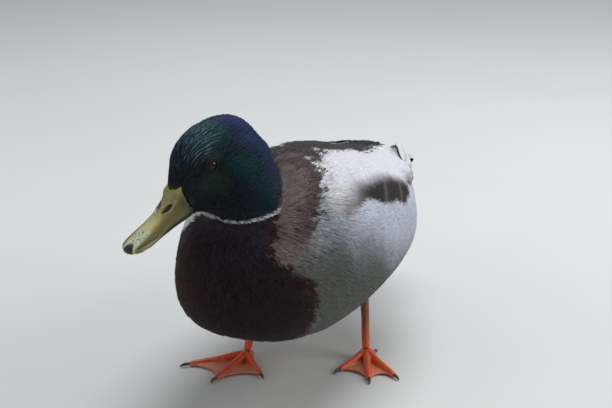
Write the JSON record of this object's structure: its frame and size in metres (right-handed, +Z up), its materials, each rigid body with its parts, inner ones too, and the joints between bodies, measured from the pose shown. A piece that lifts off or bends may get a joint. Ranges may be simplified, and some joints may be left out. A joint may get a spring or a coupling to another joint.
{
  "type": "standing mallard drake model",
  "caption": "Life-size still model of a mallard drake standing on both webbed feet, head turned a little to its right and bill held low.",
  "frame": {"origin": "on the floor, under the middle of the bird's bounding box", "axes": "the bird faces -Y, its left side is +X, +Z is up"},
  "size_m": [0.1648, 0.4326, 0.2138],
  "materials": {
    "plumage_head": "iridescent barbs",
    "plumage_body": "matt barbs",
    "plumage_wing": "matt barbs",
    "bill_horn": "satin",
    "nail_horn": "gloss",
    "leg_skin": "satin, scaled",
    "claw_horn": "satin",
    "eye_glass": "wet gloss"
  },
  "bodies": {
    "root": {"bill_lower": "bill_horn", "bill_nail": "nail_horn", "bill_upper": "bill_horn", "claw_hind_left": "claw_horn", "claw_hind_right": "claw_horn", "claw_inner_left": "claw_horn", "claw_inner_right": "claw_horn", "claw_middle_left": "claw_horn", "claw_middle_right": "claw_horn", "claw_outer_left": "claw_horn", "claw_outer_right": "claw_horn", "eye_left": "eye_glass", "eye_right": "eye_glass", "foot_left": "leg_skin", "foot_right": "leg_skin", "head": "plumage_head", "neck": "plumage_head", "shank_left": "leg_skin", "shank_right": "leg_skin", "tail": "plumage_body", "tail_curl_left": "plumage_body", "tail_curl_right": "plumage_body", "thigh_left": "plumage_body", "thigh_right": "plumage_body", "trunk": "plumage_body", "wing_left": "plumage_wing", "wing_right": "plumage_wing"}
  },
  "joints": []
}
